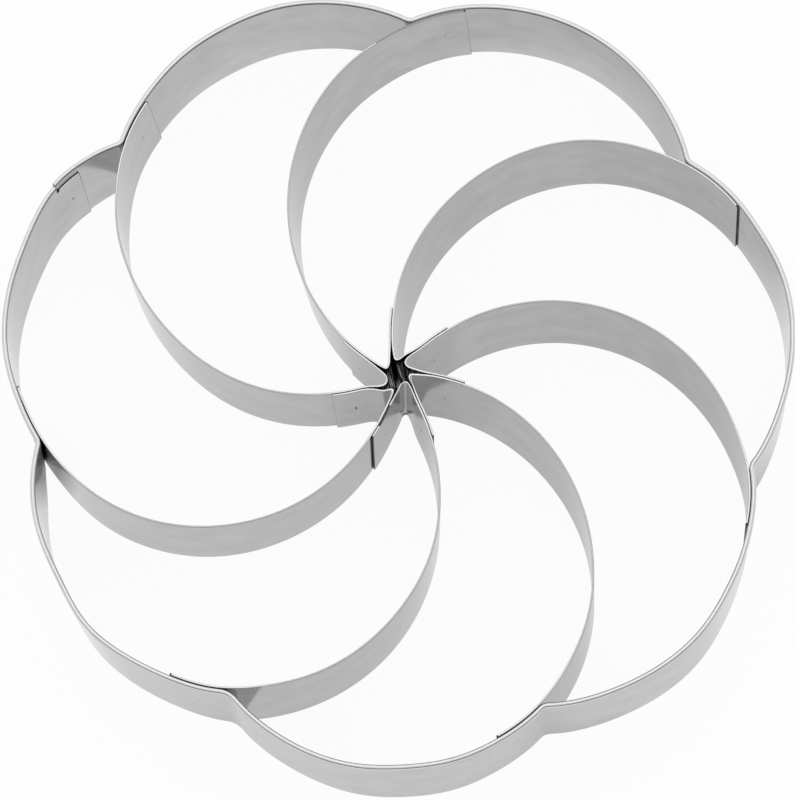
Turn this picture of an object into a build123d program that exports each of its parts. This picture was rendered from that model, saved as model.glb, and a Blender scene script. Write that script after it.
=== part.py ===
from build123d import *
import os
from math import asin, atan2, copysign, cos, degrees, radians, sin, sqrt

# A crescent cookie cutter: seven curved blades inside a lobed rim, all strips of thin tinplate.
# Sizes are in millimetres. The origin is on the cutter's axis at the cutting edge. +Z points up to
# the hem, and +X passes through the middle of the lobe that holds the rim's seam.

# Overall sizes
crescent_count = 7  # crescents cut at one press
lobe_radius = 30.3  # inner face of each rim lobe
strip_height = 28.0  # cutting edge to hem top
sheet = 0.3  # thickness of every strip
lap_gap = 0.15  # air between two lapped sheets

# Rim
kink_radius = 2.0  # bend between two lobes, on the rim's inner face
hem_height = 2.2  # hem top to the lower edge of the folded leg
hem_gap = 0.22  # air inside the fold of the hem
seam_from_kink = 12.4  # kink to the break in the hem, along the lobe
seam_gap = 0.25  # width of that break
tab_length = 4.4  # plain end of the strip that lies inside the other end
tab_drop = 2.8  # hem top to the top of the tab

# Blades
rim_lap = 9.0  # stretch of blade that lies inside the rim
fold_radius = 0.6  # inside of the fold at the hub
fold_inset = 0.22  # how far the fold is drawn in from the blade's own circle
ease_radius = 15.0  # gentle bend on both sides of the fold
flap_reach = 10.3  # hub axis to the free end of the flap

# Spot welds
weld_radius = 0.5
weld_height = 14.5  # above the cutting edge
hub_weld_from_end = 3.3  # free end of the flap to the weld

# Circles that the strips follow. The middle of every lap gap lies on a circle through the hub axis.
spacing = 360 / crescent_count
lobe_offset = lobe_radius - lap_gap / 2
blade_outer = lobe_radius - lap_gap
blade_middle = blade_outer - sheet / 2
flap_middle = lobe_radius + sheet / 2


def polar(radius, angle):
    return Vector(radius * cos(radians(angle)), radius * sin(radians(angle)))


def angle_of(vector):
    return degrees(atan2(vector.Y, vector.X))


def arc_angle(length, radius):
    return degrees(length / radius)


def crossing(first, first_radius, second, second_radius):
    # The point where two circles cross, on the right of the line from the first centre to the second
    across = second - first
    ahead = across.normalized()
    along = (across.length**2 + first_radius**2 - second_radius**2) / (2 * across.length)
    aside = sqrt(first_radius**2 - along**2)
    return first + ahead * along + Vector(ahead.Y, -ahead.X) * aside


def arc(centre, radius, start, end, clockwise=False):
    # One bend of a strip: its centre, radius, start angle and signed sweep
    sweep = (start - end) % 360 if clockwise else (end - start) % 360
    return centre, radius, start, -sweep if clockwise else sweep


lobe_centre = polar(lobe_offset, 0)
next_centre = polar(lobe_offset, -spacing)

# Kink between two lobes: its bend touches both lobe circles from outside
kink_reach = lobe_radius + kink_radius
half_chord = lobe_offset * sin(radians(spacing / 2))
kink_offset = lobe_offset * cos(radians(spacing / 2)) + sqrt(kink_reach**2 - half_chord**2)
kink_centre = polar(kink_offset, spacing / 2)
kink_angle = angle_of(kink_centre - lobe_centre)
lap_end = kink_angle - arc_angle(rim_lap, blade_middle)

# Fold at the hub: inside the blade's own circle and outside the next blade's
fold_middle = fold_radius + sheet / 2
fold_reach = fold_middle + fold_inset
fold_centre = crossing(lobe_centre, blade_middle - fold_reach, next_centre, flap_middle + fold_reach)
ease_reach = ease_radius - fold_middle
blade_ease = crossing(lobe_centre, blade_middle - ease_radius, fold_centre, ease_reach)
flap_ease = crossing(next_centre, flap_middle + ease_radius, fold_centre, ease_reach)

blade_end = angle_of(blade_ease - lobe_centre)
fold_start = angle_of(fold_centre - blade_ease)
fold_end = angle_of(fold_centre - flap_ease)
flap_start = angle_of(flap_ease - next_centre)
flap_end = 180 - spacing - 2 * degrees(asin(flap_reach / (2 * lobe_offset)))

blade_path = [
    arc(lobe_centre, blade_middle, lap_end, blade_end),
    arc(blade_ease, ease_radius, blade_end, fold_start),
    arc(fold_centre, fold_middle, fold_start, fold_end),
    arc(flap_ease, ease_radius, fold_end, flap_start + 180),
    arc(next_centre, flap_middle, flap_start, flap_end, clockwise=True),
]

# Seam: the strip's inner end curls in from the lobe circle until the tab clears the outer end
seam_angle = arc_angle(seam_from_kink, lobe_radius) - kink_angle
curl_turn = radians(lap_end - seam_angle)
curl_inset = (sheet + lap_gap) / (1 - cos(curl_turn))
curl_radius = lobe_radius - curl_inset
curl_centre = lobe_centre + polar(curl_inset, lap_end)
curl_end = seam_angle - degrees(asin(curl_inset * sin(curl_turn) / curl_radius))
tab_end = curl_end - arc_angle(tab_length, curl_radius)
outer_end = seam_angle - arc_angle(seam_gap, lobe_radius)


def strip_outline(path):
    # Both faces of a bent strip, and its two cut ends
    for centre, radius, start, sweep in path:
        turn = copysign(sheet / 2, sweep)
        CenterArc(centre, radius - turn, start, sweep)
        CenterArc(centre, radius + turn, start, sweep)
    first_centre, first_radius, first_start, _ = path[0]
    last_centre, last_radius, last_start, last_sweep = path[-1]
    for centre, radius, angle in (
        (first_centre, first_radius, first_start),
        (last_centre, last_radius, last_start + last_sweep),
    ):
        Line(centre + polar(radius - sheet / 2, angle), centre + polar(radius + sheet / 2, angle))


def hem_outline():
    # Section of the rim, from its inner face outwards: the wall, the fold at the top and the folded leg
    fold_level = strip_height - sheet - hem_gap / 2
    leg_foot = strip_height - hem_height
    leg_inner = sheet + hem_gap
    leg_outer = leg_inner + sheet
    fold_axis = leg_outer / 2
    Polyline((0, fold_level), (0, 0), (sheet, 0), (sheet, fold_level))
    ThreePointArc((sheet, fold_level), (fold_axis, fold_level + hem_gap / 2), (leg_inner, fold_level))
    Polyline((leg_inner, fold_level), (leg_inner, leg_foot), (leg_outer, leg_foot), (leg_outer, fold_level))
    ThreePointArc((leg_outer, fold_level), (fold_axis, strip_height), (0, fold_level))


def tab_outline():
    # Section of the tab: the wall alone, with the hem cut away
    Polyline((0, 0), (sheet, 0), (sheet, strip_height - tab_drop), (0, strip_height - tab_drop), close=True)


def bend(outline, centre, radius, start, end, outward=1):
    # Adds one bend of the rim: the section, drawn at the start angle, turned about the bend's centre
    facing = polar(outward, start)
    section_plane = Plane(
        origin=centre + polar(radius, start),
        x_dir=facing,
        z_dir=facing.cross(Vector(0, 0, 1)),
    )
    with BuildSketch(section_plane) as section:
        with BuildLine():
            outline()
        make_face()
    revolve(section.sketch, axis=Axis(centre, (0, 0, 1)), revolution_arc=end - start)


def lap_weld(index, spot_angle):
    # A spot weld that fills the gap between a blade and the sheet outside it
    centre = polar(lobe_offset, index * spacing)
    return gap_weld(centre, blade_outer, centre, lobe_radius, spot_angle + index * spacing)


def gap_weld(inner_centre, inner_radius, outer_centre, outer_radius, spot_angle):
    middle = strip_height / 2
    facing = polar(1, spot_angle)
    spot = outer_centre + facing * outer_radius + Vector(0, 0, weld_height)
    with BuildPart() as weld:
        with BuildSketch(Plane(origin=spot, x_dir=(0, 0, 1), z_dir=facing)):
            Circle(weld_radius)
        extrude(amount=sheet + lap_gap, both=True)
        with Locations((inner_centre.X, inner_centre.Y, middle)):
            Cylinder(inner_radius, strip_height, mode=Mode.SUBTRACT)
        with Locations((outer_centre.X, outer_centre.Y, middle)):
            Cylinder(outer_radius, strip_height, mode=Mode.INTERSECT)
    return weld.part


def write(part, name):
    part.label = name
    export_step(part, f"parts/{name}.step")


os.makedirs("parts", exist_ok=True)

# Rim band, from its outer end clockwise round all the lobes to the tab
with BuildPart() as rim_band:
    bend(hem_outline, lobe_centre, lobe_radius, -kink_angle, outer_end)
    for index in range(crescent_count):
        turned = index * spacing
        kink = polar(kink_offset, turned + spacing / 2)
        kink_turn = 2 * kink_angle - spacing
        kink_start = turned + spacing / 2 + 180 - kink_turn / 2
        bend(hem_outline, kink, kink_radius, kink_start, kink_start + kink_turn, outward=-1)
        if index > 0:
            lobe = polar(lobe_offset, turned)
            bend(hem_outline, lobe, lobe_radius, turned - kink_angle, turned + kink_angle)
    bend(hem_outline, lobe_centre, lobe_radius, lap_end, kink_angle)
    bend(hem_outline, curl_centre, curl_radius, curl_end, lap_end)
    bend(tab_outline, curl_centre, curl_radius, tab_end, curl_end)
write(rim_band.part, "rim_band")

# Blades, all alike
for index in range(crescent_count):
    with BuildPart() as blade:
        with BuildSketch(Plane.XY.rotated((0, 0, index * spacing))):
            with BuildLine():
                strip_outline(blade_path)
            make_face()
        extrude(amount=strip_height)
    write(blade.part, f"blade_{index + 1}")

# Spot welds: in the middle of each lap on the rim, near the end of each flap, and in the middle of the tab
rim_spot = (kink_angle + lap_end) / 2
hub_spot = flap_end + spacing + arc_angle(hub_weld_from_end, lobe_radius)
for index in range(crescent_count):
    write(lap_weld(index, rim_spot), f"rim_weld_{index + 1}")
    write(lap_weld(index, hub_spot), f"hub_weld_{index + 1}")
tab_middle = curl_centre + polar(curl_radius, (tab_end + curl_end) / 2)
tab_spot = angle_of(tab_middle - lobe_centre)
write(gap_weld(curl_centre, curl_radius + sheet, lobe_centre, lobe_radius, tab_spot), "seam_weld")
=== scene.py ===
import bpy
from math import asin, atan2, cos, degrees, exp, pi, radians, sin, sqrt
from mathutils import Matrix, Vector


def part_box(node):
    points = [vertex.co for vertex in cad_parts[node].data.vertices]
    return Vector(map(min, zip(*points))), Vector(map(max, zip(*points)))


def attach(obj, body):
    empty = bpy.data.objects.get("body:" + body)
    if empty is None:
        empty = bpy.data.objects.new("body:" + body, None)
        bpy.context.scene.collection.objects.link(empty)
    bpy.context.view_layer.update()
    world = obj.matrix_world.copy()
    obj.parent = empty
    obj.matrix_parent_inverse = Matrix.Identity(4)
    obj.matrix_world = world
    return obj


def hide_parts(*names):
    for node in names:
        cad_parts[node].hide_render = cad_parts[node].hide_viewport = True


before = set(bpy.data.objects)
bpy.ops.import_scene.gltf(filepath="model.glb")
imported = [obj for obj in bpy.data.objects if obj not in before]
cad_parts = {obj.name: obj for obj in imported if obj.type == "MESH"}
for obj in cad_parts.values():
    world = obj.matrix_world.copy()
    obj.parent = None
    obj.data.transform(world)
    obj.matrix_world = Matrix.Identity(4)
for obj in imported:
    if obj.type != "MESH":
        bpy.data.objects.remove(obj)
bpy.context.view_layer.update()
mm = 0.001
print("frame loaded:", len(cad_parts), "nodes")

# sizes in mm, the same as in the solid model
cutter = {"crescents": 7, "lobeRadius": 30.3, "height": 28.0, "sheet": 0.3, "lapGap": 0.15,
          "kinkRadius": 2.0}
spacing = 360 / cutter["crescents"]
lobeOffset = cutter["lobeRadius"] - cutter["lapGap"] / 2  # axis to the middle of a lobe
sheet = cutter["sheet"]
height = cutter["height"]
level = 0.9  # upright share of a normal from which a face counts as level


def polar(radius, angle):
    return Vector((radius * cos(radians(angle)), radius * sin(radians(angle)), 0))


def angleOf(vector):
    return degrees(atan2(vector.y, vector.x))


def flat(at):
    return Vector((at.x, at.y, 0))


def crossing(first, firstRadius, second, secondRadius):
    ahead = (second - first).normalized()  # the crossing on the right of this line
    apart = (second - first).length
    along = (apart**2 + firstRadius**2 - secondRadius**2) / (2 * apart)
    aside = sqrt(firstRadius**2 - along**2)
    return first + ahead * along + Vector((ahead.y, -ahead.x, 0)) * aside


lobeCentre = polar(lobeOffset, 0)
nextCentre = polar(lobeOffset, -spacing)

# the strips were bent by hand: the lobes are a little uneven and the blades lean
handMade = {
    "lean": 0.65, "leanWithin": 44.0, "leanNoneAt": 58.0,  # top against foot, fading out to the rim
    "presses": [  # lobe, angle on its circle, reach, push outwards, push along
        (0, -36, 8, 0.3, -2.5), (0, -26, 5, 1.3, 0),  # round the seam
        (0, 0, 9, -0.04, 0), (0, 36, 5, -0.3, 0), (0, 50, 7, -0.3, -1.2), (0, 66, 7, 0.35, 0),
        (0, 92, 12, 0.6, 0), (0, 132, 9, 0.3, 0),
        (1, -36, 6, 0.3, 0), (1, -12, 5, -0.6, 0), (1, 5, 5, 0.3, 0), (1, 20, 8, -0.5, 0),
        (1, 36, 6, -0.4, 0), (1, 50, 7, 0.3, -0.7), (1, 56, 5, -0.3, 0), (1, 126, 7, 0.3, 0),
        (2, 4, 5, -0.4, 0), (2, 36, 6, -0.3, 0), (2, 50, 7, 0.2, -1.4), (2, 72, 7, 0.3, 0),
        (2, 104, 10, -0.1, 0),
        (3, 12, 5, -0.5, 0), (3, 20, 12, 0.15, 0), (3, 33, 6, -0.5, 0), (3, 50, 7, 0.2, -1.3),
        (3, 130, 20, 0.2, 0),
        (4, -36, 6, -0.15, 0), (4, -5, 8, -0.2, 0), (4, 20, 5, -0.6, 0), (4, 36, 5, -0.25, 0),
        (4, 50, 7, -0.2, -0.9), (4, 104, 10, -0.2, 0), (4, 130, 12, -0.12, 0),
        (5, -5, 8, -0.2, 0), (5, 20, 8, -0.3, 0), (5, 50, 7, -0.2, -0.8), (5, 66, 7, 0.2, 0),
        (5, 138, 11, 0.25, 0),
        (6, 4, 6, -0.4, 0), (6, 33, 6, -0.3, 0), (6, 50, 7, 0.7, 0.2), (6, 58, 4, 0.25, 0),
        (6, 75, 7, 1.2, 0), (6, 85, 4, -0.2, 0), (6, 140, 12, 0.4, 0),
    ],
    "footPushes": [  # the same for the cutting edge alone
        (0, -33, 5, -0.4, 0), (0, 6, 8, 0.2, 0), (0, 50, 2.4, 0, -2.2), (0, 132, 9, -0.3, 0),
        (1, -30, 6, -0.2, 0), (1, 5, 5, -0.35, 0), (1, 56, 5, 0.35, 0), (1, 126, 7, -0.35, 0),
        (1, 176.5, 1.3, 0.5, 0.8), (2, 4, 9, 0.4, 0), (2, 100, 9, 0.35, 0), (3, 28, 6, -0.25, 0),
        (4, -8, 8, -0.3, 0), (5, -5, 8, 0.2, 0), (5, 138, 11, -0.3, 0), (6, -18, 8, -0.2, 0),
    ],
    "foldReach": 1.3,
    "foldPushes": [  # place of each fold at the hub, and its push
        (1.3, 2.4, -0.2, 1.0), (-1.1, 2.5, -0.1, -1.0), (-2.7, 0.7, 0, 0.2), (-2.2, -1.6, 0.5, -0.25),
        (-0.1, -2.8, 0.1, -0.15), (2.1, -1.8, 0, 0.25), (2.7, 0.5, -0.65, 0.2),
    ],
}


def nearness(at, middle, reach):
    return exp(-((at - middle).length / reach) ** 2 / 2)


def bentByHand(at):
    here = flat(at)
    push = Vector((0, 0, 0))
    for share, kind in ((1, "presses"), (1 - at.z / height, "footPushes")):
        for lobe, angle, reach, outwards, along in handMade[kind]:
            facing = polar(1, angle + lobe * spacing)
            middle = polar(lobeOffset, lobe * spacing) + facing * cutter["lobeRadius"]
            moved = facing * outwards + Vector((-facing.y, facing.x, 0)) * along
            push += moved * share * nearness(here, middle, reach)
    for x, y, pushX, pushY in handMade["foldPushes"]:
        push += Vector((pushX, pushY, 0)) * nearness(here, Vector((x, y, 0)), handMade["foldReach"])
    fade = (handMade["leanNoneAt"] - here.length) / (handMade["leanNoneAt"] - handMade["leanWithin"])
    sideways = Vector((-at.y, at.x, 0)).normalized()
    push += sideways * handMade["lean"] * (at.z / height - 0.5) * min(1, max(0, fade))
    return at + push


# working habits: selecting, bending, thickening

strip = {"step": 1.0, "weldWithin": 0.0005, "edgeSegments": 3, "sharpFrom": 50, "pickWithin": 0.01}


def onlyThis(piece):
    bpy.ops.object.select_all(action="DESELECT")
    piece.select_set(True)
    bpy.context.view_layer.objects.active = piece


def pickVerts(piece, test):
    bpy.ops.object.mode_set(mode="EDIT")
    bpy.ops.mesh.select_mode(type="VERT")
    bpy.ops.mesh.select_all(action="DESELECT")
    bpy.ops.object.mode_set(mode="OBJECT")
    for vert in piece.data.vertices:
        vert.select = test(vert.co / mm)
    bpy.ops.object.mode_set(mode="EDIT")


def reshape(piece, move):
    for vert in piece.data.vertices:
        vert.co = move(vert.co / mm) * mm
    piece.data.update()


def uprightEdge(name, foot, top, rows):
    # a plane is stood up with one side at foot, and only that side is kept
    bpy.ops.object.select_all(action="DESELECT")
    bpy.ops.mesh.primitive_plane_add(
        size=top * mm, location=((foot.x + top / 2) * mm, foot.y * mm, top / 2 * mm),
        rotation=(pi / 2, 0, 0))
    bpy.ops.object.transform_apply(location=True, rotation=True, scale=True)
    piece = bpy.context.object
    piece.name = piece.data.name = name
    pickVerts(piece, lambda co: co.x > foot.x + top / 2)
    bpy.ops.mesh.delete(type="VERT")
    bpy.ops.mesh.select_all(action="SELECT")
    bpy.ops.mesh.subdivide(number_cuts=rows - 1)
    return piece


def bendStrip(centre, sweep, step=strip["step"]):
    # carries the selected edges round one bend, and leaves the new end selected
    bpy.ops.mesh.spin(
        steps=max(1, round(abs(sweep) / step)), angle=radians(abs(sweep)),
        center=(centre.x * mm, centre.y * mm, 0), axis=(0, 0, -1 if sweep > 0 else 1),
        use_auto_merge=False)


def thicken(piece, edgeRound):
    bpy.ops.mesh.select_all(action="SELECT")
    bpy.ops.mesh.remove_doubles(threshold=strip["weldWithin"] * mm)
    bpy.ops.mesh.normals_make_consistent(inside=False)
    bpy.ops.object.mode_set(mode="OBJECT")
    wall = piece.modifiers.new("sheet", "SOLIDIFY")
    wall.thickness = sheet * mm
    wall.offset = 0
    wall.use_even_offset = True
    bpy.ops.object.modifier_apply(modifier=wall.name)
    soft = piece.modifiers.new("edges", "BEVEL")
    soft.width = edgeRound * mm
    soft.segments = strip["edgeSegments"]
    soft.limit_method = "ANGLE"
    soft.angle_limit = radians(strip["sharpFrom"])
    bpy.ops.object.modifier_apply(modifier=soft.name)
    bpy.ops.object.shade_smooth_by_angle(angle=radians(strip["sharpFrom"]))
    even = piece.modifiers.new("evenWalls", "WEIGHTED_NORMAL")  # walls shaded flat up to their edges
    even.keep_sharp = True
    bpy.ops.object.modifier_apply(modifier=even.name)


def paintFaces(piece, index, test):
    for face in piece.data.polygons:
        if test(face.center / mm, face.normal):
            face.material_index = index


# finishes

def startFinish(name):
    finish = bpy.data.materials.new(name)
    finish.use_nodes = True
    nodes = finish.node_tree.nodes
    return finish, nodes, finish.node_tree.links, nodes["Principled BSDF"]


def noiseOn(nodes, links, source, scale, detail, stretch=(1, 1, 1)):
    place = nodes.new("ShaderNodeMapping")
    place.inputs["Scale"].default_value = stretch
    links.new(source, place.inputs["Vector"])
    noise = nodes.new("ShaderNodeTexNoise")
    noise.inputs["Scale"].default_value = scale
    noise.inputs["Detail"].default_value = detail
    links.new(place.outputs["Vector"], noise.inputs["Vector"])
    return noise.outputs["Fac"]


def rampOn(nodes, links, source, stops):
    ramp = nodes.new("ShaderNodeValToRGB")
    while len(ramp.color_ramp.elements) < len(stops):
        ramp.color_ramp.elements.new(0.5)
    for element, (place, grey) in zip(ramp.color_ramp.elements, stops):
        element.position = place
        element.color = (grey, grey, grey, 1)
    links.new(source, ramp.inputs["Fac"])
    return ramp.outputs["Color"]


def spreadOn(nodes, links, noise, tones):
    # from low to high over the shares that noise mostly keeps to
    return rampOn(nodes, links, noise, [(0.3, tones[0]), (0.7, tones[1])])


def mathOn(nodes, links, operation, first, second):
    step = nodes.new("ShaderNodeMath")
    step.operation = operation
    links.new(first, step.inputs[0])
    links.new(second, step.inputs[1])
    return step.outputs["Value"]


def measureOn(nodes, links, operation, source, other):
    step = nodes.new("ShaderNodeVectorMath")
    step.operation = operation
    links.new(source, step.inputs[0])
    step.inputs[1].default_value = other
    return step.outputs["Value"]


def rangeOn(nodes, links, source, start, end, low=0, high=1):
    step = nodes.new("ShaderNodeMapRange")
    for name, value in (("From Min", start), ("From Max", end), ("To Min", low), ("To Max", high)):
        step.inputs[name].default_value = value
    links.new(source, step.inputs["Value"])
    return step.outputs["Result"]


def mixOn(nodes, links, kind, first, second, blend="MIX"):
    step = nodes.new("ShaderNodeMix")
    step.data_type = kind
    step.blend_type = blend
    links.new(first, step.inputs["A"])
    links.new(second, step.inputs["B"])
    return step.inputs["Factor"], step.outputs["Result"]


tinLook = {
    "tone": [(0.35, 0.61), (0.62, 0.7)], "rimTint": 0.67, "rough": (0.06, 0.12), "smudges": 180,
    "streaks": 120, "streakStretch": (0.25, 0.25, 9), "streakShare": 0.12,  # rolling lines along the strip
    "pits": 700, "pitTone": [(0.17, 0.6), (0.22, 1)],
    "specks": 1500, "speckStrength": 0.06, "speckDepth": 0.02,
    "handled": ["rim_weld_6", "hub_weld_7", "seam_weld"], "handledReach": 5.0,  # smeared round these welds
    "smears": 650, "smearTone": [(0.4, 1), (0.66, 0.86)],
}


def makeTinplate():
    finish, nodes, links, shader = startFinish("brightTinplate")
    where = nodes.new("ShaderNodeTexCoord").outputs["Object"]
    smudge = noiseOn(nodes, links, where, tinLook["smudges"], 4)
    streak = noiseOn(nodes, links, where, tinLook["streaks"], 2, tinLook["streakStretch"])
    share, blotch = mixOn(nodes, links, "FLOAT", smudge, streak)
    share.default_value = tinLook["streakShare"]
    tone = rampOn(nodes, links, blotch, tinLook["tone"])
    pit = rampOn(nodes, links, noiseOn(nodes, links, where, tinLook["pits"], 1), tinLook["pitTone"])
    share, colour = mixOn(nodes, links, "RGBA", tone, pit, "MULTIPLY")
    share.default_value = 1
    smear = rampOn(nodes, links, noiseOn(nodes, links, where, tinLook["smears"], 3), tinLook["smearTone"])
    for name in tinLook["handled"]:
        low, high = (Vector(corner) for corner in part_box(name))
        away = measureOn(nodes, links, "DISTANCE", where, (low + high) / 2)
        share, colour = mixOn(nodes, links, "RGBA", colour, smear, "MULTIPLY")
        links.new(rangeOn(nodes, links, away, 0, tinLook["handledReach"] * mm, 1, 0), share)
    links.new(colour, shader.inputs["Base Color"])
    links.new(spreadOn(nodes, links, smudge, tinLook["rough"]), shader.inputs["Roughness"])
    shader.inputs["Metallic"].default_value = 1
    shader.inputs["Specular Tint"].default_value = (tinLook["rimTint"],) * 3 + (1,)
    bump = nodes.new("ShaderNodeBump")
    bump.inputs["Strength"].default_value = tinLook["speckStrength"]
    bump.inputs["Distance"].default_value = tinLook["speckDepth"] * mm
    links.new(noiseOn(nodes, links, where, tinLook["specks"], 2), bump.inputs["Height"])
    links.new(bump.outputs["Normal"], shader.inputs["Normal"])
    return finish


grainLook = {
    # dark cut steel on end faces, and painted gap shade where it is laid on burrs, corners and a flap's edge
    "shearedEnd": {"grain": 2500, "stretch": (1, 1, 0.3), "tone": (0.02, 0.07), "rough": (0.35, 0.6),
                   "metal": 1, "gloss": 0.5},
    "burntSpot": {"grain": 3000, "stretch": (1, 1, 1), "tone": (0.03, 0.08), "rough": (0.35, 0.55),
                  "metal": 0, "gloss": 0.1},
    "faintSpot": {"grain": 3000, "stretch": (1, 1, 1), "tone": (0.4, 0.55), "rough": (0.35, 0.55),
                  "metal": 1, "gloss": 0.5},
}


def makeGrainy(name):
    look = grainLook[name]
    finish, nodes, links, shader = startFinish(name)
    where = nodes.new("ShaderNodeTexCoord").outputs["Object"]
    grain = noiseOn(nodes, links, where, look["grain"], 3, look["stretch"])
    links.new(spreadOn(nodes, links, grain, look["tone"]), shader.inputs["Base Color"])
    links.new(spreadOn(nodes, links, grain, look["rough"]), shader.inputs["Roughness"])
    shader.inputs["Metallic"].default_value = look["metal"]
    shader.inputs["Specular IOR Level"].default_value = look["gloss"]
    return finish


edgeLook = {
    "dull": (0.52, 0.64), "bright": (0.83, 0.93), "grey": (0.3, 0.42), "grain": 500, "rough": (0.25, 0.4),
    "reach": 60.0, "wear": [(0.15, 1), (0.25, 0), (0.83, 0), (0.89, 1)],  # share of brightness, hub to rim
}


def makeSlitEdge(name, dull, bright):
    finish, nodes, links, shader = startFinish(name)
    where = nodes.new("ShaderNodeTexCoord").outputs["Object"]
    grain = noiseOn(nodes, links, where, edgeLook["grain"], 3)
    inPlan = nodes.new("ShaderNodeVectorMath")
    inPlan.operation = "MULTIPLY"
    inPlan.inputs[1].default_value = (1, 1, 0)
    links.new(where, inPlan.inputs[0])
    out = measureOn(nodes, links, "DISTANCE", inPlan.outputs["Vector"], (0, 0, 0))
    across = rangeOn(nodes, links, out, 0, edgeLook["reach"] * mm)
    tones = [spreadOn(nodes, links, grain, tone) for tone in (dull, bright)]
    share, colour = mixOn(nodes, links, "RGBA", *tones)
    links.new(rampOn(nodes, links, across, edgeLook["wear"]), share)  # brighter at the hub and near the rim
    links.new(colour, shader.inputs["Base Color"])
    links.new(spreadOn(nodes, links, grain, edgeLook["rough"]), shader.inputs["Roughness"])
    shader.inputs["Metallic"].default_value = 1
    return finish


tinplate = makeTinplate()
shearedEnd = makeGrainy("shearedEnd")
slitEdge = makeSlitEdge("slitEdge", edgeLook["dull"], edgeLook["bright"])
greyEdge = makeSlitEdge("greyEdge", edgeLook["grey"], edgeLook["grey"])
burntSpot = makeGrainy("burntSpot")
faintSpot = makeGrainy("faintSpot")
print("finishes made")

# painted gap shade: a dark line along a sheared end's burr and a dark corner on its slit edge, beside the end
# face's own dark cut steel; shares of a normal on the end and the walls
cutEnd = {"burr": 0.12, "corner": 0.32, "reach": 0.4, "end": 0.3, "wall": 0.7}
slots = {"sheet": 0, "slitEdge": 1, "sheared": 2, "grey": 3}
under, over = -1, height + 1  # below and above every strip


def dressStrip(piece, ends):
    # each end has its foot, the way it faces, its reach, lowest and highest point, and the slot of the
    # painted shade on its burr
    piece.data.materials.clear()
    for finish in (tinplate, slitEdge, shearedEnd, greyEdge):
        piece.data.materials.append(finish)
    paintFaces(piece, slots["slitEdge"], lambda at, normal: abs(normal.z) > level)
    for foot, facing, reach, lowest, highest, burr in ends:
        def inFromEnd(at):
            away = flat(at - foot)
            return -away.dot(facing) if away.length < reach and lowest < at.z < highest else reach

        def onBurrAndShade(at, normal):
            return inFromEnd(at) < cutEnd["corner" if abs(normal.z) > level else "burr"]

        def onEnd(at, normal):
            return inFromEnd(at) < reach and normal.dot(facing) > cutEnd["end"]
        if burr != slots["sheet"]:
            paintFaces(piece, burr, onBurrAndShade)
        paintFaces(piece, slots["sheared"], onEnd)


# blades: lap, long curve, fold at the hub and flap

blade = {
    "rimLap": 9.0, "foldRadius": 0.6, "foldInset": 0.22, "easeRadius": 15.0, "flapReach": 10.3,
    "rows": 8, "edgeRound": 0.09, "easeStep": 1.2, "foldStep": 6.0,
    # strips not cut to quite the same length nor quite square: more at the top and at the foot, drawn
    # out over the last few millimetres
    "lapMore": {2: (-0.6, -0.6), 4: (1.3, 1.3), 5: (-0.75, -0.3), 6: (-1.4, -0.3)},
    "flapMore": {2: (0.8, 0.8), 6: (-0.8, -0.8)}, "slideReach": 6.0,
    # laps and flaps pressed to their neighbours: push, and the angles from the end where it is full and lost
    "lapPress": (0.1, 17, 30), "flapPress": (-0.07, 9, 14), "overrun": -5, "onCircle": 0.3,
    # one lap left open, one with its slit edge and burr painted grey, one cut clean without the painted shade
    # beside
    #     # its end, and a flap with painted gap shade: its top edge dark for a stretch from the axis
    "openLap": 6, "dullLap": 5, "cleanLap": 4, "darkFlap": 1, "darkReach": (5.0, 8.6),
}
bladeMiddle = cutter["lobeRadius"] - cutter["lapGap"] - sheet / 2
flapMiddle = cutter["lobeRadius"] + sheet / 2


def kinkPlace(radius):
    # the bend between two lobes touches both from outside: its distance out, and where the lobe ends
    halfChord = lobeOffset * sin(radians(spacing / 2))
    reach = cutter["lobeRadius"] + radius
    out = lobeOffset * cos(radians(spacing / 2)) + sqrt(reach**2 - halfChord**2)
    return out, angleOf(polar(out, spacing / 2) - lobeCentre)


lapEnd = kinkPlace(cutter["kinkRadius"])[1] - degrees(blade["rimLap"] / bladeMiddle)
flapEnd = 180 - spacing - 2 * degrees(asin(blade["flapReach"] / (2 * lobeOffset)))


def bladeBends():
    # centre, sweep and step of each bend, with short ones at both ends for the burr and its painted shade
    foldMiddle = blade["foldRadius"] + sheet / 2
    foldReach = foldMiddle + blade["foldInset"]
    foldCentre = crossing(lobeCentre, bladeMiddle - foldReach, nextCentre, flapMiddle + foldReach)
    ease = blade["easeRadius"]
    bladeEase = crossing(lobeCentre, bladeMiddle - ease, foldCentre, ease - foldMiddle)
    flapEase = crossing(nextCentre, flapMiddle + ease, foldCentre, ease - foldMiddle)
    bladeEnd = angleOf(bladeEase - lobeCentre)
    foldStart = angleOf(foldCentre - bladeEase)
    foldEnd = angleOf(foldCentre - flapEase)
    flapStart = angleOf(flapEase - nextCentre)
    burr = degrees(cutEnd["burr"] / bladeMiddle)
    corner = degrees(cutEnd["corner"] / bladeMiddle)
    step = strip["step"]
    return [
        (lobeCentre, burr, step), (lobeCentre, corner - burr, step),
        (lobeCentre, (bladeEnd - lapEnd) % 360 - corner, step),
        (bladeEase, (foldStart - bladeEnd) % 360, blade["easeStep"]),
        (foldCentre, (foldEnd - foldStart) % 360, blade["foldStep"]),
        (flapEase, (flapStart + 180 - foldEnd) % 360, blade["easeStep"]),
        (nextCentre, corner - (flapStart - flapEnd) % 360, step),
        (nextCentre, burr - corner, step), (nextCentre, -burr, step),
    ]


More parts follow.
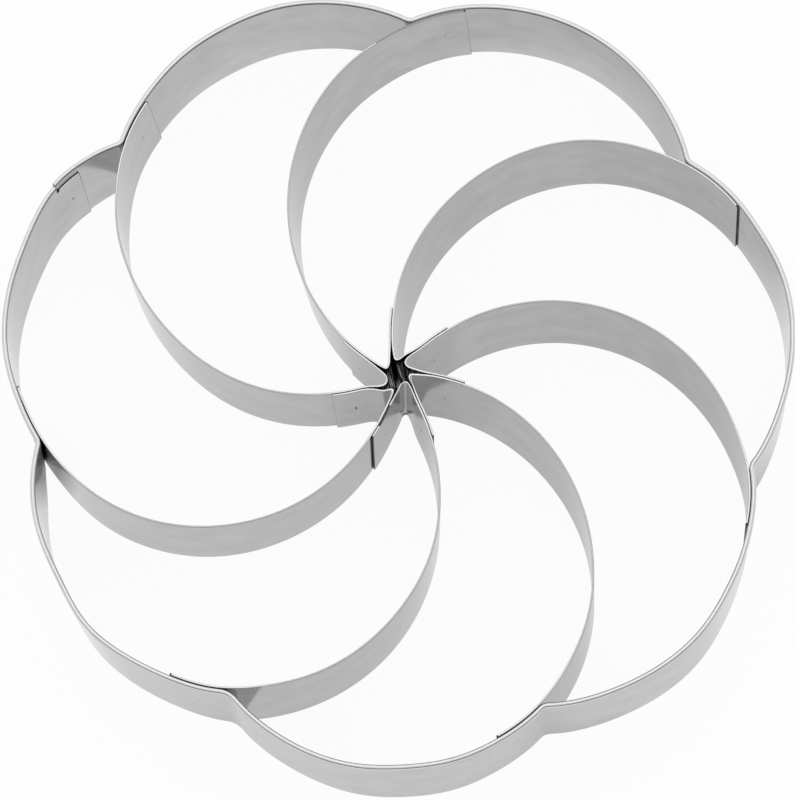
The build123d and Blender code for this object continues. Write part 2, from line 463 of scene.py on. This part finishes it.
def makeBlade():
    foot = lobeCentre + polar(bladeMiddle, lapEnd)
    tip = nextCentre + polar(flapMiddle, flapEnd)
    piece = uprightEdge("bladeStrip", foot, height, blade["rows"])
    for centre, sweep, step in bladeBends():
        bendStrip(centre, sweep, step)
    thicken(piece, blade["edgeRound"])
    # the lap end: dark cut steel on its end face, painted gap shade as a dark line on its burr and a dark
    # corner on its slit edge; the flap's tip has only the dark end face
    dressStrip(piece, [
        (foot, polar(1, lapEnd - 90), cutEnd["reach"], under, over, slots["sheared"]),
        (tip, polar(1, flapEnd - 90), cutEnd["reach"], under, over, slots["sheet"])])
    return piece


def pastEnd(at, end):
    # a point seen from the middle of an end's circle: the way to it, and its angle in from the end, or none
    centre, radius, endAngle = end
    away = flat(at) - centre
    onIt = abs(away.length - radius) < blade["onCircle"]
    return away, (angleOf(away) - endAngle + 180) % 360 - 180 if onIt else None


def slideEnd(piece, end, more):
    centre, radius, _ = end
    atTop, atFoot = more
    reach = degrees(blade["slideReach"] / radius)

    def slid(at):
        away, past = pastEnd(at, end)
        if past is None or abs(past) > reach:
            return at
        here = atFoot + (atTop - atFoot) * at.z / height
        turn = Matrix.Rotation(-here / radius * (1 - abs(past) / reach), 3, "Z")
        return centre + turn @ away + Vector((0, 0, at.z))
    reshape(piece, slid)


def pressEnd(piece, end, press):
    push, full, lost = press

    def pressed(at):
        away, past = pastEnd(at, end)
        if past is None or not blade["overrun"] < past < lost:
            return at
        return at + away.normalized() * push * min(1, (lost - past) / (lost - full))
    reshape(piece, pressed)


def onGreyLap(at, normal, end):
    # the lap's slit edge, painted grey, and the burr at its end below the painted dark corner, its painted
    # shade grey
    past = pastEnd(at, end)[1]
    if past is None:
        return False
    inwards = radians(past) * bladeMiddle
    if inwards < cutEnd["corner"]:
        return inwards < cutEnd["burr"] and at.z < height - cutEnd["corner"]
    return normal.z > level and past < blade["lapPress"][2]


def onCleanLap(at, normal, end):
    # the strip of burr and painted shade on both walls, but not the end itself
    away, past = pastEnd(at, end)
    onBurrAndShade = past is not None and radians(past) * bladeMiddle < cutEnd["burr"]
    return onBurrAndShade and abs(normal.dot(away.normalized())) > cutEnd["wall"]


def onDarkFlap(at, normal, end):
    darkFrom, darkTo = blade["darkReach"]
    onFlap = pastEnd(at, end)[1] is not None
    return onFlap and normal.z > level and darkFrom < flat(at).length < darkTo


def fitBlade(piece, index):
    turned = index * spacing
    lap = (polar(lobeOffset, turned), bladeMiddle, lapEnd + turned)
    flap = (polar(lobeOffset, turned - spacing), flapMiddle, flapEnd + turned)
    # one lap's slit edge painted grey, and the painted shade on its burr grey instead of dark
    if index == blade["dullLap"]:
        paintFaces(piece, slots["grey"], lambda at, normal: onGreyLap(at, normal, lap))
    # one lap end without painted shade on its walls
    if index == blade["cleanLap"]:
        paintFaces(piece, slots["sheet"], lambda at, normal: onCleanLap(at, normal, lap))
    if index in blade["lapMore"]:
        slideEnd(piece, lap, blade["lapMore"][index])
    if index != blade["openLap"]:
        pressEnd(piece, lap, blade["lapPress"])
    pressEnd(piece, flap, blade["flapPress"])
    if index in blade["flapMore"]:
        slideEnd(piece, flap, blade["flapMore"][index])
    # painted gap shade: one flap's top edge dark for a stretch from the axis
    if index == blade["darkFlap"]:
        paintFaces(piece, slots["sheared"], lambda at, normal: onDarkFlap(at, normal, flap))
    reshape(piece, bentByHand)


def copyOf(piece, name):
    onlyThis(piece)
    bpy.ops.object.duplicate(linked=False)
    copy = bpy.context.object
    copy.name = copy.data.name = name
    return copy


def putInFrame(piece, node):
    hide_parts(node)
    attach(piece, "root")


firstBlade = makeBlade()
for index in range(cutter["crescents"]):
    copy = copyOf(firstBlade, f"bladeStrip.{index + 1}")
    copy.rotation_euler.z = radians(index * spacing)
    bpy.ops.object.transform_apply(location=True, rotation=True, scale=True)
    fitBlade(copy, index)
    putInFrame(copy, f"blade_{index + 1}")
print("blades made:", cutter["crescents"], "of", len(firstBlade.data.polygons), "faces")
bpy.data.objects.remove(firstBlade)

# rim band: hemmed strip bent to the lobes, with a lap seam

rim = {
    "hemHeight": 2.2, "hemGap": 0.22, "softKinks": {1: 4.0}, "kinkStep": 3.0,
    "seamFromKink": 12.4, "seamGap": 0.25, "tabLength": 4.4, "tabDrop": 2.8, "tabGap": 0.07,
    "rows": 9, "hemSteps": 12, "edgeRound": 0.05, "margin": 0.1,
}


def raiseSection(foot, outward, tabTop, legFoot):
    # wall up to the tab's top, on to the hem, round its fold and down the leg
    foldLevel = height - sheet - rim["hemGap"] / 2
    foldAt = foot + outward * (sheet + rim["hemGap"]) / 2
    piece = uprightEdge("rimStrip", foot, tabTop, rim["rows"])
    pickVerts(piece, lambda co: co.z > tabTop - strip["pickWithin"])
    bpy.ops.mesh.extrude_region_move(TRANSFORM_OT_translate={"value": (0, 0, (foldLevel - tabTop) * mm)})
    bpy.ops.mesh.spin(
        steps=rim["hemSteps"], angle=pi, center=(foldAt.x * mm, foldAt.y * mm, foldLevel * mm),
        axis=outward.cross(Vector((0, 0, 1))), use_auto_merge=False)
    bpy.ops.mesh.extrude_region_move(TRANSFORM_OT_translate={"value": (0, 0, (legFoot - foldLevel) * mm)})
    bpy.ops.mesh.select_all(action="SELECT")
    return piece, foldAt


def makeRim():
    radius = cutter["lobeRadius"]
    count = cutter["crescents"]
    kinks = [kinkPlace(rim["softKinks"].get(index, cutter["kinkRadius"])) for index in range(count)]
    burrSweep = degrees(cutEnd["burr"] / radius)
    tabSweep = degrees(rim["tabLength"] / radius)
    tabTop = height - rim["tabDrop"]
    legFoot = height - rim["hemHeight"]

    # the inner end curls in from the lobe until the tab clears the outer end
    seamAngle = degrees(rim["seamFromKink"] / radius) - kinkPlace(cutter["kinkRadius"])[1]
    outerEnd = seamAngle - degrees(rim["seamGap"] / radius)
    curlTurn = radians(lapEnd - seamAngle)
    curlInset = (sheet + rim["tabGap"]) / (1 - cos(curlTurn))
    curlRadius = radius - curlInset
    curlCentre = lobeCentre + polar(curlInset, lapEnd)
    curlEnd = seamAngle - degrees(asin(curlInset * sin(curlTurn) / curlRadius))

    # clockwise from the outer end round the lobes and kinks, back to the seam lobe and into its curl
    outward = polar(1, outerEnd)
    foot = lobeCentre + outward * (radius + sheet / 2)
    piece, foldAt = raiseSection(foot, outward, tabTop, legFoot)
    bendStrip(lobeCentre, -burrSweep)
    bendStrip(lobeCentre, burrSweep - outerEnd - kinks[-1][1])
    for index in reversed(range(count)):
        out, lobeEnd = kinks[index]
        bendStrip(polar(out, (index + 0.5) * spacing), 2 * lobeEnd - spacing, rim["kinkStep"])
        if index > 0:
            bendStrip(polar(lobeOffset, index * spacing), -(lobeEnd + kinks[index - 1][1]))
    bendStrip(lobeCentre, lapEnd - kinks[0][1])
    bendStrip(curlCentre, curlEnd - lapEnd)

    # the tab goes on alone, without the hem
    tabFoot = curlCentre + polar(curlRadius + sheet / 2, curlEnd)
    near = strip["pickWithin"]
    pickVerts(piece, lambda co: flat(co - tabFoot).length < near and co.z < tabTop + near)
    bendStrip(lobeCentre, burrSweep - tabSweep)
    bendStrip(lobeCentre, -burrSweep)
    thicken(piece, rim["edgeRound"])

    tabStart = angleOf(tabFoot - lobeCentre)
    tabEnd = tabStart - tabSweep
    tip = lobeCentre + polar((tabFoot - lobeCentre).length, tabEnd)
    hemReach = sheet + rim["hemGap"] + cutEnd["reach"]
    hemFrom, tabTo = legFoot - rim["margin"], tabTop + rim["margin"]
    # every end face is dark cut steel; the outer end's burr gets dark painted gap shade, and the tab's end a
    # grey line of painted shade
    dressStrip(piece, [
        (foot, polar(1, outerEnd + 90), cutEnd["reach"], under, hemFrom, slots["sheared"]),
        (foldAt, polar(1, outerEnd + 90), hemReach, hemFrom, over, slots["sheet"]),
        (tabFoot, polar(1, curlEnd - 90), hemReach, tabTo, over, slots["sheet"]),
        (tip, polar(1, tabEnd - 90), cutEnd["reach"], under, tabTo, slots["grey"])])
    reshape(piece, bentByHand)
    return piece


rimStrip = makeRim()
putInFrame(rimStrip, "rim_band")
print("rim made:", len(rimStrip.data.polygons), "faces")

# spot welds: a nugget in the gap, with a small dished mark on both outer faces

weld = {
    "sides": 24, "nugget": 0.5, "mark": 0.2, "proud": 0.02, "lip": 0.06, "bowl": 0.08, "dish": 0.015,
    "sharpFrom": 40, "open": f"rim_weld_{blade['openLap'] + 1}",
    "burnt": "hub_weld_7", "streak": (5.0, 0.7, 1.0),  # its marks run up and down the sheet
    # where lapped sheets are pressed together, the side of the weld that follows its sheet, and how far
    "closed": {"rim": (-1, blade["lapPress"][0]), "hub": (1, blade["flapPress"][0]),
               "seam": (-1, cutter["lapGap"] - rim["tabGap"])},
}


def makeWeld():
    bpy.ops.object.select_all(action="DESELECT")
    bpy.ops.mesh.primitive_cylinder_add(
        vertices=weld["sides"], radius=weld["nugget"] * mm, depth=cutter["lapGap"] * mm)
    piece = bpy.context.object
    piece.name = piece.data.name = "weldNugget"
    bpy.ops.object.mode_set(mode="EDIT")
    bpy.ops.mesh.select_mode(type="FACE")
    for side in (1, -1):
        bpy.ops.mesh.select_all(action="DESELECT")
        bpy.ops.object.mode_set(mode="OBJECT")
        for face in piece.data.polygons:
            face.select = face.normal.z * side > level
        bpy.ops.object.mode_set(mode="EDIT")
        bpy.ops.mesh.inset(thickness=(weld["nugget"] - weld["mark"]) * mm)
        rise = side * (sheet + weld["proud"]) * mm
        bpy.ops.mesh.extrude_region_move(TRANSFORM_OT_translate={"value": (0, 0, rise)})
        bpy.ops.mesh.inset(thickness=weld["lip"] * mm)
        bpy.ops.mesh.inset(thickness=weld["bowl"] * mm, depth=-weld["dish"] * mm)
    bpy.ops.mesh.select_all(action="SELECT")
    bpy.ops.mesh.normals_make_consistent(inside=False)
    bpy.ops.object.mode_set(mode="OBJECT")
    bpy.ops.object.shade_smooth_by_angle(angle=radians(weld["sharpFrom"]))
    return piece


def closeGap(piece, name):
    side, push = weld["closed"][name.split("_")[0]]
    if name != weld["open"]:
        reshape(piece, lambda at: at + Vector((0, 0, push if at.z * side > 0 else 0)))


def placeWelds():
    first = makeWeld()
    names = sorted(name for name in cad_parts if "weld" in name)
    for name in names:
        low, high = (Vector(corner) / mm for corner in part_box(name))
        spot = (low + high) / 2
        lobe = 0 if name == "seam_weld" else int(name.split("_")[-1]) - 1
        away = flat(spot) - polar(lobeOffset, lobe * spacing)
        copy = copyOf(first, name.replace("_", "") + "Mark")
        closeGap(copy, name)
        if name == weld["burnt"]:
            streak = Matrix.Diagonal(weld["streak"])
            reshape(copy, lambda at: streak @ at if abs(at.z) > sheet / 2 else at)
        copy.rotation_euler = away.to_track_quat("Z", "X").to_euler()
        copy.location = spot * mm
        bpy.ops.object.transform_apply(location=True, rotation=True, scale=True)
        copy.data.materials.append(burntSpot if name == weld["burnt"] else faintSpot)
        reshape(copy, bentByHand)
        putInFrame(copy, name)
    bpy.data.objects.remove(first)
    return len(names)


print("welds made:", placeWelds())

# studio: pale floor, soft light, white surround

studio = {
    # the floor's paint runs from dark, where shade is painted on it, to its own pale colour
    "floorSize": 8.0, "paint": [(0, 0.02), (1, 0.9)], "floorShow": 0.95,
    # painted light on the floor in gloss: inside the cutter it falls off to the right, and outside it is
    # brighter
    "glossShow": 0.8, "glossLeft": 1.1, "glossRight": 0.82, "fallReach": 60.0,
    "glossOutside": 1.12, "outsideFrom": 56.0, "outsideTo": 60.0,
    # painted shade where less light gets down to it inside, as place, dark within, light from and glow
    #     # left: the star at the hub, the crowded middle and the tightest kink
    "wells": [(0.86, -0.89, 2.0, 2.4, 0.03), (0, 0, 3.0, 14.0, 0.8), (51.3, 21.6, 2.0, 7.0, 0.4)],
    # and painted shade, by ambient occlusion, in the slits between lapped sheets, as distance from the axis
    # and width
    "slitNear": (3.0, 0.6), "slitFar": (12.0, 0.25), "slitDark": 0.15, "slitLight": 0.45,
    # the room: its light, and in gloss its horizon on the camera's side and behind the object, and overhead
    "roomLight": 0.8, "nearHorizon": 0.15, "farHorizon": 0.95, "nearest": -0.8, "farthest": 0.1,
    "overhead": 0.58, "riseFrom": 0.3, "riseTo": 0.8,
    "softboxSize": 0.9, "softboxBack": 0.35, "softboxHeight": 1.2, "softboxWatts": 1.5,
}


def showsWhite(nodes, links):
    # 1 for what the camera sees straight on, in gloss or through glass
    rays = nodes.new("ShaderNodeLightPath").outputs
    either = mathOn(nodes, links, "MAXIMUM", rays["Is Camera Ray"], rays["Is Glossy Ray"])
    return mathOn(nodes, links, "MAXIMUM", either, rays["Is Transmission Ray"])


def lightOnFloor(nodes, links, where, fromAxis, outside):
    # painted shade in the floor's glow: dark in the slits and round each well, the wells lifted outside the
    # rim
    (nearTo, nearWidth), (farFrom, farWidth) = studio["slitNear"], studio["slitFar"]
    slit = nodes.new("ShaderNodeAmbientOcclusion")
    width = rangeOn(nodes, links, fromAxis, nearTo * mm, farFrom * mm, nearWidth * mm, farWidth * mm)
    links.new(width, slit.inputs["Distance"])
    lit = rangeOn(nodes, links, slit.outputs["AO"], studio["slitDark"], studio["slitLight"])
    for x, y, dark, light, left in studio["wells"]:
        away = measureOn(nodes, links, "DISTANCE", where, (x * mm, y * mm, 0))
        glow = rangeOn(nodes, links, away, dark * mm, light * mm, left)
        lit = mathOn(nodes, links, "MULTIPLY", lit, mathOn(nodes, links, "MAXIMUM", glow, outside))
    return lit


def makeFloor(rightSide):
    bpy.ops.object.select_all(action="DESELECT")
    bpy.ops.mesh.primitive_plane_add(size=studio["floorSize"], location=(0, 0, 0))
    floor = bpy.context.object
    floor.name = "studioFloor"
    finish, nodes, links, shader = startFinish("paleFloor")
    nodes.remove(shader)
    where = nodes.new("ShaderNodeTexCoord").outputs["Object"]
    fromAxis = measureOn(nodes, links, "DISTANCE", where, (0, 0, 0))
    outside = rangeOn(nodes, links, fromAxis, studio["outsideFrom"] * mm, studio["outsideTo"] * mm)
    lit = lightOnFloor(nodes, links, where, fromAxis, outside)
    # the floor's paint is darkened by the same painted shade
    paint = nodes.new("ShaderNodeBsdfDiffuse")
    links.new(rampOn(nodes, links, lit, studio["paint"]), paint.inputs["Color"])

    # painted light in gloss: falling off to the right inside the cutter, brighter outside it
    reach = studio["fallReach"] * mm
    toRight = measureOn(nodes, links, "DOT_PRODUCT", where, rightSide)
    inside = rangeOn(nodes, links, toRight, -reach, reach, studio["glossLeft"], studio["glossRight"])
    inGloss = nodes.new("ShaderNodeMix")
    links.new(outside, inGloss.inputs["Factor"])
    links.new(inside, inGloss.inputs["A"])
    inGloss.inputs["B"].default_value = studio["glossOutside"]
    straight = nodes.new("ShaderNodeLightPath").outputs["Is Camera Ray"]
    seen = nodes.new("ShaderNodeMix")
    links.new(straight, seen.inputs["Factor"])
    links.new(mathOn(nodes, links, "MULTIPLY", lit, inGloss.outputs["Result"]), seen.inputs["A"])
    seen.inputs["B"].default_value = 1
    glow = nodes.new("ShaderNodeEmission")
    links.new(seen.outputs["Result"], glow.inputs["Strength"])

    share = rangeOn(nodes, links, straight, 0, 1, studio["glossShow"], studio["floorShow"])
    mix = nodes.new("ShaderNodeMixShader")
    links.new(mathOn(nodes, links, "MULTIPLY", showsWhite(nodes, links), share), mix.inputs["Fac"])
    links.new(paint.outputs["BSDF"], mix.inputs[1])
    links.new(glow.outputs["Emission"], mix.inputs[2])
    links.new(mix.outputs["Shader"], nodes["Material Output"].inputs["Surface"])
    floor.data.materials.append(finish)


def makeRoom(farSide):
    world = bpy.data.worlds.new("whiteRoom")
    bpy.context.scene.world = world
    world.use_nodes = True
    nodes = world.node_tree.nodes
    links = world.node_tree.links
    back = nodes["Background"]
    back.inputs["Color"].default_value = (1, 1, 1, 1)
    towards = nodes.new("ShaderNodeTexCoord").outputs["Generated"]
    split = nodes.new("ShaderNodeSeparateXYZ")
    links.new(towards, split.inputs["Vector"])
    toBack = measureOn(nodes, links, "DOT_PRODUCT", towards, farSide)
    horizon = rangeOn(nodes, links, toBack, studio["nearest"], studio["farthest"],
                      studio["nearHorizon"], studio["farHorizon"])
    rise = rangeOn(nodes, links, split.outputs["Z"], studio["riseFrom"], studio["riseTo"],
                   high=studio["overhead"])
    links.new(horizon, rise.node.inputs["To Min"])
    straight = nodes.new("ShaderNodeLightPath").outputs["Is Camera Ray"]
    strength = rangeOn(nodes, links, showsWhite(nodes, links), 0, 1, studio["roomLight"])
    links.new(mathOn(nodes, links, "MAXIMUM", rise, straight), strength.node.inputs["To Max"])
    links.new(strength, back.inputs["Strength"])


def makeSoftbox(place):
    bpy.ops.object.light_add(type="AREA", location=place)
    lamp = bpy.context.object
    lamp.name = "softboxOver"
    lamp.data.shape = "SQUARE"
    lamp.data.size = studio["softboxSize"]
    lamp.data.energy = studio["softboxWatts"]
    lamp.rotation_euler = (-place).to_track_quat("-Z", "Y").to_euler()


shot = {"aim": (-0.566, 1.604, 0), "tilt": 11.5, "turn": 202.09, "roll": -8.16, "distance": 1336.5,
        "lens": 389.76, "sensor": 36, "seesTo": 20}


def makeCamera(turn):
    bpy.ops.object.camera_add()
    camera = bpy.context.object
    lean = Matrix.Rotation(radians(shot["tilt"]), 4, "X")
    roll = Matrix.Rotation(radians(shot["roll"]), 4, "Z")
    aim = turn @ Vector(shot["aim"])
    back = turn @ lean @ Vector((0, 0, shot["distance"]))
    camera.matrix_world = Matrix.Translation((aim + back) * mm) @ turn @ lean @ roll
    camera.data.sensor_fit = "HORIZONTAL"
    camera.data.sensor_width = shot["sensor"]
    camera.data.lens = shot["lens"]
    camera.data.clip_end = shot["seesTo"]
    bpy.context.scene.camera = camera


turn = Matrix.Rotation(radians(shot["turn"]), 4, "Z")  # from the frame to the camera's own sides
makeCamera(turn)
makeFloor(turn @ Vector((1, 0, 0)))
makeRoom(turn @ Vector((0, 1, 0)))
makeSoftbox(turn @ Vector((0, studio["softboxBack"], studio["softboxHeight"])))
bpy.context.scene.view_settings.view_transform = "Standard"
print("studio set")
